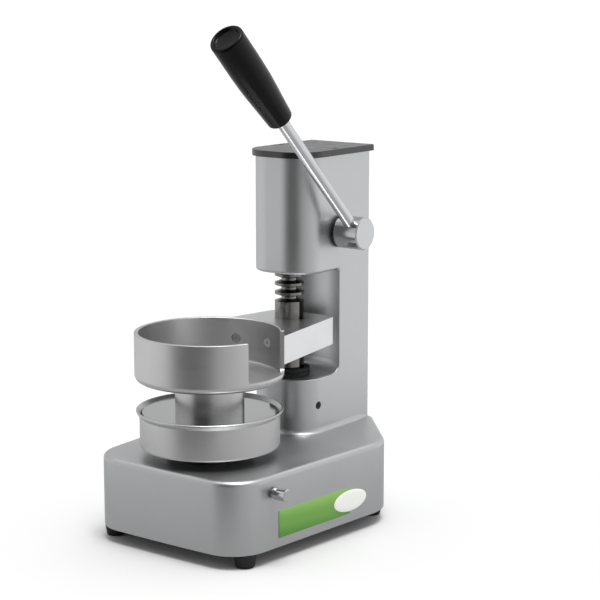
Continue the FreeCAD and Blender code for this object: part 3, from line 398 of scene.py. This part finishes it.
# Radius and length in mm of each boss inside the base and of each hole through it.
SCREW_BOSS, SPIGOT_BOSS, PIN_BOSS = (9.0, 66.0), (36.5, 21.0), (10.0, 12.0)
SCREW_HOLE, SPIGOT_BORE, RACK_HOLE = (2.4, 22.0), (31.3, 60.0), (18.0, 30.0)
PIN_BORE, SPRING_BORE = (4.15, 45.0), (7.0, 18.0)
SPIGOT_BOSS_Z, SPIGOT_BORE_Z, HOLE_START = 60.5 * MM, 50.5 * MM, 1 * MM
RACK_HOLE_DEPTH, PIN_BOSS_X, PIN_BORE_X, SPRING_BORE_X = 20 * MM, 83.5 * MM, 79 * MM, 77.5 * MM

base = surface("cast_base", base_grid(), closed=True)
machined(base, "UNION", [(*SCREW_BOSS, (foot.x, foot.y, cover_top), UP) for foot in feet] + [
    (*SPIGOT_BOSS, (0, mould_axis.y, SPIGOT_BOSS_Z), UP),
    (*PIN_BOSS, (PIN_BOSS_X, lock_axis.y, lock_axis.z), SIDE)])
machined(base, "DIFFERENCE", [
    (*SCREW_HOLE, (foot.x, foot.y, cover_top - HOLE_START), UP) for foot in feet] + [
    (*SPIGOT_BORE, (0, mould_axis.y, SPIGOT_BORE_Z), UP),
    (*RACK_HOLE, (0, rack_axis.y, base_top - RACK_HOLE_DEPTH), UP),
    (*PIN_BORE, (PIN_BORE_X, lock_axis.y, lock_axis.z), SIDE),
    (*SPRING_BORE, (SPRING_BORE_X, lock_axis.y, lock_axis.z), SIDE)])
fit_out(base, blasted, "stand", "cast_aluminium", "base_housing")

# ------------------------------------------------------------------ column foot bead
# The column isn't just set on the base: the joint is filled and dressed to a concave bead
# along its sides and round its nose, which fades out before the back corners.
BEAD_RADIUS, BEAD_FADE, BEAD_KEY, BEAD_SINK = 5.0 * MM, 16 * MM, 1.0 * MM, 0.2 * MM
NOSE_RADIUS, SIDE_STEPS, NOSE_STEPS, BEAD_STEPS = 28 * MM, 40, 24, 12


def bead_grid():
    """The column's plan as a path from the back left corner round the nose to the back right one,
    and across it a concave quarter circle: out by r(1 - cos a) and up by r(1 - sin a). Its back is
    keyed into the column, and r shrinks to nothing as the root of the way to each end."""
    low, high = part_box("column_casting")
    side = np.linspace(high.y - BEAD_KEY * 3, low.y + NOSE_RADIUS, SIDE_STEPS)
    arc = np.radians(np.linspace(0, 90, NOSE_STEPS))
    left = np.stack([np.full(SIDE_STEPS, low.x), side], 1)
    nose = np.stack([low.x + NOSE_RADIUS * (1 - np.cos(arc)), low.y + NOSE_RADIUS * (1 - np.sin(arc))], 1)
    half = np.vstack([left, nose[1:]])
    path = np.vstack([half, half[::-1] * (-1, 1)])
    step = np.gradient(path, axis=0)
    outward = np.stack([step[:, 1], -step[:, 0]], 1) / np.linalg.norm(step, axis=1)[:, None]
    run = np.concatenate([[0], np.cumsum(np.linalg.norm(np.diff(path, axis=0), axis=1))])
    radius = BEAD_RADIUS * np.sqrt(np.clip(np.minimum(run, run[-1] - run) / BEAD_FADE, 0, 1))
    quarter = np.radians(np.linspace(0, 90, BEAD_STEPS))
    key, sink = np.full_like(radius, -BEAD_KEY), np.full_like(radius, -BEAD_SINK)
    out = np.column_stack([radius[:, None] * (1 - np.cos(quarter)), key, key])
    up = np.column_stack([radius[:, None] * (1 - np.sin(quarter)), sink, radius])
    spot = path[:, None] + outward[:, None] * out[..., None]
    return np.concatenate([spot, low.z + up[..., None]], -1)


fit_out(surface("column_foot_bead", bead_grid()), blasted, "stand", "cast_aluminium")

# ------------------------------------------------------------------ screws, bolts and washers
# Every screw is turned steel with a thin zinc coat: pale, slightly blue and a little cloudy.


def clouded_metal(name, colour, rough, cloud_mm, depth_mm, spread=0.06, shade=0.85):
    """Plated or rolled metal: a smooth surface with small clouds of gloss and shade."""
    material, tree = new_material(name)
    here = add(tree, "TexCoord").outputs["Object"]
    clouds = noise(tree, here, cloud_mm, 4.0, 0.6)
    finish_shader(tree, shaded(tree, colour, between(tree, clouds, shade, 1.0)),
                  between(tree, clouds, rough + spread, rough - spread),
                  relief(tree, noise(tree, here, cloud_mm / 4), depth_mm, 0.3), Metallic=1.0)
    return material


zinc = clouded_metal("zinc_plated_steel", "B4B7BC", 0.32, 1.5, 0.01)
wear(zinc, "column_bolts", "foot_screws", "bracket_screws", "lid_screws", "neck_screws",
     "plate_screw", "plate_nut", "ejector_screw", "arm_grub_screw", "guide_screw")
pickled = clouded_metal("pickled_stainless_sheet", "A9AAAB", 0.42, 6.0, 0.02)
wear(pickled, "bottom_cover", "rocker_bracket", "ejector_rocker")

# ------------------------------------------------------------------ rubber feet
# Four moulded feet of black rubber, tapered, with a rounded foot edge and a recess for the screw
# that holds foot and bottom cover together. Rubber is matt, with dust in its pores.


def moulded(name, colour, rough, grain_mm, depth_mm, dust=0.3, **settings):
    """A moulded plastic or rubber: its mould's fine grain, and a little paler dust in clouds."""
    material, tree = new_material(name)
    here = add(tree, "TexCoord").outputs["Object"]
    clouds = noise(tree, here, 12, 4.0, 0.65)
    tint = shaded(tree, colour, between(tree, clouds, 1.0, 1.0 + dust))
    finish_shader(tree, tint, between(tree, clouds, rough - 0.04, rough + 0.06),
                  relief(tree, noise(tree, here, grain_mm, 3.0), depth_mm, 0.5), **settings)
    return material


rubber = moulded("moulded_rubber", "161617", 0.62, 0.5, 0.04, 0.5)


def smooth_corners(points, cuts, steps=8):
    """A closed outline in mm whose corners are rounded: each is a parabola between the places a
    cut's length before and after it, B(t) = (1-t)^2 a + 2t(1-t) corner + t^2 b."""
    corner = np.array(points, float)
    cuts = np.array(cuts, float)[:, None]
    before, after = np.roll(corner, 1, 0) - corner, np.roll(corner, -1, 0) - corner
    a = corner + before / np.linalg.norm(before, axis=1)[:, None] * cuts
    b = corner + after / np.linalg.norm(after, axis=1)[:, None] * cuts
    t = np.linspace(0, 1, steps)[None, :, None]
    a, corner, b = a[:, None], corner[:, None], b[:, None]
    return ((1 - t) ** 2 * a + 2 * t * (1 - t) * corner + t ** 2 * b).reshape(-1, 2)


FOOT_TOP, FOOT_FLOOR, FOOT_HIGH, FOOT_COLLAR = 11.0, 9.0, 13.4, 2.2
SCREW_RADIUS, SEAT_RADIUS, SEAT_DEPTH = 2.4, 5.0, 6.0
foot_outline = smooth_corners(
    [(SCREW_RADIUS, FOOT_HIGH), (FOOT_TOP, FOOT_HIGH), (FOOT_TOP, FOOT_HIGH - FOOT_COLLAR), (FOOT_FLOOR, 0),
     (SEAT_RADIUS, 0), (SEAT_RADIUS, SEAT_DEPTH), (SCREW_RADIUS, SEAT_DEPTH)],
    [0.1, 0.3, 0.7, 1.4, 0.5, 0.2, 0.2])
for place, middle in zip(FEET, feet):
    ground_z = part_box("foot_" + place)[0].z
    foot = turned_piece("rubber_foot_" + place, foot_outline, (middle.x, middle.y, ground_z), UP)
    fit_out(foot, rubber, "stand", "black_rubber", "foot_" + place)

# ------------------------------------------------------------------ guide bushes and the stop ring
# Sintered bronze bushes are pressed into the castings for the rack, the shaft and the ejector.
# A black rubber ring on the column's lower block softens the arm's lowest stop.


def seen_from_axis(tree, centre, axis):
    """Object space turned so that an axis through centre is Z: distance from it, place along it
    and a slow measure across it."""
    turn = Vector(axis).rotation_difference(Vector((0, 0, 1)))
    here = add(tree, "TexCoord").outputs["Object"]
    spin = add(tree, "Mapping", [("Vector", here)], Rotation=turn.to_euler(),
               Location=-(turn @ Vector(centre)))
    split = add(tree, "SeparateXYZ", [(0, spin.outputs[0])])
    flat = add(tree, "CombineXYZ", [("X", split.outputs["X"]), ("Y", split.outputs["Y"])])
    distance = add(tree, "VectorMath", [(0, flat.outputs[0])], operation="LENGTH").outputs["Value"]
    return distance, split.outputs["Z"], split.outputs["X"]


def turned_metal(name, colour, rough, centre, axis, line_mm, depth_mm, spread=0.06, shade=0.9,
                 streak_mm=60.0):
    """Turned or brushed metal: fine lines round an axis, made of noise squeezed across the lines
    and drawn out along them, with clouds of gloss.

    The lines are drawn as coarse as the render needs to show them."""
    material, tree = new_material(name)
    distance, along, across = seen_from_axis(tree, centre, axis)
    lines = add(tree, "CombineXYZ", [("X", distance), ("Y", along), ("Z", across)])
    squeeze = add(tree, "VectorMath", [(0, lines.outputs[0])], operation="MULTIPLY")
    squeeze.inputs[1].default_value = (1.0, 1.0, line_mm / streak_mm)
    grooves = noise(tree, squeeze.outputs[0], line_mm, 3.0, 0.7)
    clouds = noise(tree, add(tree, "TexCoord").outputs["Object"], 25, 3.0)
    mixed = add(tree, "Math", [(0, grooves), (1, clouds)], operation="MULTIPLY").outputs[0]
    finish_shader(tree, shaded(tree, colour, between(tree, grooves, shade, 1.0)),
                  between(tree, mixed, rough - spread, rough + spread, 0.12, 0.4),
                  relief(tree, grooves, depth_mm, 0.4), Metallic=1.0)
    return material


for name, axis_point, axis, nodes in (
        ("rack_bush_bronze", rack_axis, UP, ("upper_guide_bush", "lower_guide_bush")),
        ("shaft_bush_bronze", shaft_axis, SIDE, ("shaft_bush_left", "shaft_bush_right")),
        ("ejector_bush_bronze", mould_axis, UP, ("ejector_guide_bush",))):
    wear(turned_metal(name, "B08A50", 0.36, axis_point, axis, 0.4, 0.02), *nodes)

ring_low, ring_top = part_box("bumper_ring")
RING_BORE, RING_OUTSIDE, GROOVE_DEPTH, GROOVE_START, GROOVE_END = 15.4, 20.6, 0.9, 0.46, 0.62
ring_high = (ring_top.z - ring_low.z) / MM
ring_outline = smooth_corners(
    [(RING_BORE, 0), (RING_OUTSIDE, 0), (RING_OUTSIDE, ring_high * GROOVE_START),
     (RING_OUTSIDE - GROOVE_DEPTH, ring_high * (GROOVE_START + GROOVE_END) / 2),
     (RING_OUTSIDE, ring_high * GROOVE_END), (RING_OUTSIDE, ring_high), (RING_BORE, ring_high)],
    [0.2, 0.4, 0.5, 0.5, 0.5, 1.5, 0.8])
stop_ring = turned_piece("rubber_stop_ring", ring_outline, (rack_axis.x, rack_axis.y, ring_low.z), UP, 96)
fit_out(stop_ring, rubber, "stand", "black_rubber", "bumper_ring")

# ------------------------------------------------------------------ rack, pinion and shaft
# The rack is a ground steel bar with rings of teeth turned into it, dark with oil and grease. The
# hobbed pinion and its key sit on the lever's shaft in the head, behind a circlip.
ground = turned_metal("ground_oiled_steel", "8C8B89", 0.17, rack_axis, UP, 0.35, 0.006, 0.05, 0.8)
wear(ground, "rack_rod")
wear(clouded_metal("ground_pin_steel", "A8A9AA", 0.25, 3.0, 0.005), "drive_pin", "pivot_pin", "ejector_pin")
hobbed = turned_metal("hobbed_steel", "77787A", 0.38, shaft_axis, SIDE, 0.6, 0.02, 0.08, 0.7)
wear(hobbed, "drive_pinion", "pinion_key", "arm_key")
spring_steel = clouded_metal("drawn_spring_steel", "6E7073", 0.35, 1.2, 0.01)
wear(spring_steel, "shaft_circlip")
faced = turned_metal("faced_chromed_shaft", "C9CACC", 0.20, shaft_axis, SIDE, 0.5, 0.008, 0.05, 0.93)
wear(faced, "pinion_shaft")
seal = moulded("moulded_seal", "0C0C0D", 0.5, 0.4, 0.02, 0.3)
wear(seal, "shaft_washer")

# ------------------------------------------------------------------ press arm
# Milled from aluminium plate: the cutter leaves shallow overlapping arcs, dulled by a light blast.
milled = turned_metal("milled_aluminium", "DEDFE0", 0.34, rack_axis, UP, 1.2, 0.02, 0.05, 0.94)
wear(milled, "press_arm")

# ------------------------------------------------------------------ paper cup, neck and press plate
# A spun stainless cup for the film sheets, a turned neck and a polished plate, all round the mould
# axis. The cup is satin brushed round its wall; the plate is bright, so it mirrors the neck.
satin = turned_metal("satin_stainless", "CCCCCC", 0.36, mould_axis, UP, 0.7, 0.004, 0.04, 0.96)
wear(satin, "paper_cup", "cup_screws")
turned = turned_metal("turned_stainless", "C6C6C6", 0.30, mould_axis, UP, 0.8, 0.0006, 0.03, 0.97)
wear(turned, "press_neck", "bowl_spigot")
polished = turned_metal("polished_stainless", "C4C5C5", 0.10, mould_axis, UP, 0.9, 0.0015, 0.03, 0.96)
wear(polished, "press_plate")

# ------------------------------------------------------------------ mould bowl, its seat and the ejector
# The bowl is spun from 2 mm stainless sheet with a flared, rolled rim, and stands on a seat ring
# whose near-black is painted shade, the shadow in the gap under the bowl. The ejector plate lies on
# its bottom and is lifted by a ground rod from below.
spun = turned_metal("spun_stainless", "CACACA", 0.33, mould_axis, UP, 0.8, 0.004, 0.05, 0.95)
wear(spun, "mould_bowl", "ejector_plate")
wear(turned_metal("ground_ejector_rod", "A8A9AA", 0.24, mould_axis, UP, 0.4, 0.006), "ejector_rod")
# Painted shade: the seat ring's near-black colour stands for the shadow in the gap under the bowl.
acetal = moulded("seat_ring_painted_shade", "0B0B0C", 0.42, 0.6, 0.03, 0.3)
wear(acetal, "bowl_seat_ring")

# ------------------------------------------------------------------ lock pin, knob and spring
# A ground pin slides in the base's right wall and drops into the spigot's groove. Its knob is
# chromed, and a wire spring between the pin's collar and the guide pushes it home.
wear(turned_metal("ground_lock_pin", "A8A9AA", 0.24, lock_axis, SIDE, 0.4, 0.006), "lock_pin",
     "lock_pin_guide")
knob_chrome = turned_metal("turned_chrome", "D4D5D7", 0.14, lock_axis, SIDE, 0.5, 0.006, 0.04, 0.95)
wear(knob_chrome, "lock_knob")
spring_low, spring_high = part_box("lock_spring")
SPRING_TURNS, CLOSED_TURNS, SPRING_STEPS = 6.5, 0.75, 400
COIL_RADIUS, WIRE_RADIUS, COLLAR_GAP, PIN_TRAVEL = 5.5 * MM, 0.6 * MM, 0.9 * MM, 12 * MM
TIP_SHARE = 0.004  # the share of the wire's run over which each end narrows


def spring_grid():
    """A compression spring along X with closed ends. Its wire's middle is
    (x(s), r cos(2 pi n s), r sin(2 pi n s)), where x(s) climbs by 3/4 of a wire's width in the first
    and last 3/4 turn and evenly between; round it a circle that narrows to a point at both ends."""
    guide_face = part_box("lock_pin_guide")[0].x
    start, end = spring_low.x + WIRE_RADIUS + COLLAR_GAP, guide_face - WIRE_RADIUS
    place = np.linspace(0, 1, SPRING_STEPS)[:, None]
    turns = place * SPRING_TURNS
    rise = np.clip((turns - CLOSED_TURNS) / (SPRING_TURNS - 2 * CLOSED_TURNS), 0, 1)
    closed_end = 2 * WIRE_RADIUS * CLOSED_TURNS
    first = np.clip(turns / CLOSED_TURNS, 0, 1)
    last = np.clip((turns - SPRING_TURNS + CLOSED_TURNS) / CLOSED_TURNS, 0, 1)
    along = start + (end - start - 2 * closed_end) * rise + closed_end * (first + last)
    turn = 2 * math.pi * turns
    radial = np.concatenate([np.zeros_like(turn), np.cos(turn), np.sin(turn)], 1)
    centre = np.array([0, lock_axis.y, lock_axis.z]) + radial * COIL_RADIUS
    centre[:, :1] += along
    width = WIRE_RADIUS * np.sqrt(np.clip(np.minimum(place, 1 - place) / TIP_SHARE, 0, 1))[..., None]
    angle = np.linspace(0, 2 * math.pi, 12, endpoint=False)[None, :, None]
    return centre[:, None] + width * (np.cos(angle) * radial[:, None] + np.sin(angle) * np.array(SIDE))


spring = fit_out(surface("lock_wire_spring", spring_grid()), spring_steel, "stand", "spring_steel",
                 "lock_spring")
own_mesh(spring)

# ------------------------------------------------------------------ lever rod and grip
# A 12 mm chromed rod is screwed across the shaft's hub. Its grip is a compression moulding in
# black phenolic, polished, slightly waisted towards the rod and dished at its end.


def drawn_metal(name, colour, rough, centre, axis, line_mm, depth_mm):
    """Drawn and polished bar: faint lines along its axis, under a bright plating."""
    material, tree = new_material(name)
    distance, along, across = seen_from_axis(tree, centre, axis)
    lines = add(tree, "CombineXYZ", [("X", distance), ("Y", along), ("Z", across)])
    squeeze = add(tree, "VectorMath", [(0, lines.outputs[0])], operation="MULTIPLY")
    squeeze.inputs[1].default_value = (1.0, 0.01, 1.0)
    streaks = noise(tree, squeeze.outputs[0], line_mm, 3.0)
    finish_shader(tree, shaded(tree, colour, between(tree, streaks, 0.96, 1.0)),
                  between(tree, streaks, rough - 0.02, rough + 0.04),
                  relief(tree, streaks, depth_mm, 0.3), Metallic=1.0)
    return material


LEVER_TILT = math.radians(45.5)  # from upright towards the bowl
lever_axis = Vector((0, -math.sin(LEVER_TILT), math.cos(LEVER_TILT)))
lever_foot = Vector((middle_of("lever_rod").x, shaft_axis.y, shaft_axis.z))
wear(drawn_metal("chromed_bar", "CDCED0", 0.12, lever_foot, lever_axis, 1.2, 0.004), "lever_rod")

GRIP_START, GRIP_END, GRIP_RADIUS, GRIP_NECK, ROD_RADIUS = 175.0, 285.8, 16.5, 12.6, 6.1
INSERT_RADIUS, INSERT_DEPTH, INSERT_LENGTH = 9.0, 3.0, 61.0
grip_outline = smooth_corners(
    [(ROD_RADIUS, GRIP_START), (GRIP_NECK, GRIP_START), (GRIP_NECK + 0.9, GRIP_START + 14),
     (GRIP_RADIUS - 0.5, GRIP_START + 48), (GRIP_RADIUS, GRIP_START + 70), (GRIP_RADIUS, GRIP_END),
     (GRIP_RADIUS - 3.6, GRIP_END), (GRIP_RADIUS - 5.2, GRIP_END - 2.6), (4, GRIP_END - 3.4),
     (0, GRIP_END - 3.5), (0, GRIP_START + INSERT_LENGTH), (INSERT_RADIUS, GRIP_START + INSERT_LENGTH),
     (INSERT_RADIUS, GRIP_START + INSERT_DEPTH), (ROD_RADIUS, GRIP_START + INSERT_DEPTH)],
    [0.3, 1.6, 5, 10, 9, 2.8, 0.7, 1.2, 2.0, 0, 0, 0.2, 0.2, 0.2], 10)
bakelite = moulded("moulded_phenolic", "040404", 0.24, 2.5, 0.006, 0.2, Specular_IOR_Level=0.12,
                   Coat_Weight=0.12, Coat_Roughness=0.08)
wear(turned_metal("grip_insert_brass", "B08A50", 0.36, middle_of("grip_insert"), SIDE, 0.4, 0.02),
     "grip_insert")
grip = turned_piece("phenolic_grip", grip_outline, lever_foot, lever_axis, 96)
fit_out(grip, bakelite, "lever", "black_phenolic", "lever_grip")

# ------------------------------------------------------------------ column lid
# The head is closed by a flat lid of black ABS sheet, satin on top, with a machined edge. Two
# small countersunk screws hold it at the back.
abs_sheet = moulded("satin_abs", "161618", 0.28, 0.6, 0.003, 0.1, Specular_IOR_Level=0.8)
wear(abs_sheet, "column_lid")

# ------------------------------------------------------------------ label film and blank badge
# A printed polyester film in green, lighter at its top and back, lies on the right wall under a
# clear coat. The oval badge on its end is a white resin dome with no mark on it.


def printed_film(name, low, high, top, foot):
    """Ink on film: a colour that changes with height and along the wall, with a fine print grain."""
    material, tree = new_material(name)
    here = add(tree, "TexCoord").outputs["Object"]
    split = add(tree, "SeparateXYZ", [(0, here)])
    rise = between(tree, split.outputs["Z"], 0.0, 0.8, low.z, high.z)
    run = between(tree, split.outputs["Y"], 0.0, 0.2, low.y, high.y)
    both = add(tree, "Math", [(0, rise), (1, run)], operation="ADD").outputs[0]
    ink = ramp(tree, both, [(0.0, foot), (0.45, "68A436"), (1.0, top)])
    grain = noise(tree, here, 0.6)
    finish_shader(tree, shaded(tree, ink, between(tree, grain, 0.97, 1.0)),
                  between(tree, grain, 0.32, 0.38), relief(tree, grain, 0.005, 0.3),
                  Coat_Weight=0.6, Coat_Roughness=0.12)
    return material


label_low, label_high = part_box("label_plate")
wear(printed_film("printed_green_film", label_low, label_high, "8FC25A", "4A8A22"), "label_plate")

badge_low, badge_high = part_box("oval_badge")
wall_slope = math.atan2(label_high.x - label_low.x, label_high.y - label_low.y)
wall_line = np.array([math.sin(wall_slope), math.cos(wall_slope), 0])
wall_out = np.array([math.cos(wall_slope), -math.sin(wall_slope), 0])
DOME_LIFT, DOME_EDGE = 1.5 * MM, 0.45


def dome_grid():
    """A domed oval: at angle a and share r of its radius the point is r (A cos a, B sin a) on the
    wall, lifted by edge + (1 - edge) sqrt(1 - r^4) of the dome's height; its back is flat."""
    long = (badge_high.y - badge_low.y) / 2 / wall_line[1]
    high = (badge_high.z - badge_low.z) / 2
    share = np.concatenate([np.sin(np.linspace(0, math.pi / 2, 24)), [1.0, 0.0]])[None, :, None]
    lift = DOME_LIFT * (DOME_EDGE + (1 - DOME_EDGE) * np.sqrt(np.clip(1 - share ** 4, 0, 1)))
    lift[:, -2:] = 0
    angle = np.linspace(0, 2 * math.pi, 96, endpoint=False)[:, None, None]
    middle = np.array((badge_low + badge_high) / 2)
    back = middle - wall_out * DOME_LIFT / 2
    flat = share * (long * np.cos(angle) * wall_line + high * np.sin(angle) * np.array([0, 0, 1.0]))
    return back + flat + lift * wall_out


resin = moulded("clear_white_resin", "F8F8F4", 0.30, 3.0, 0.001, 0.01, Coat_Weight=1.0, Coat_Roughness=0.05)
badge = surface("resin_badge", dome_grid(), closed=True)
fit_out(badge, resin, "stand", "white_badge", "oval_badge")
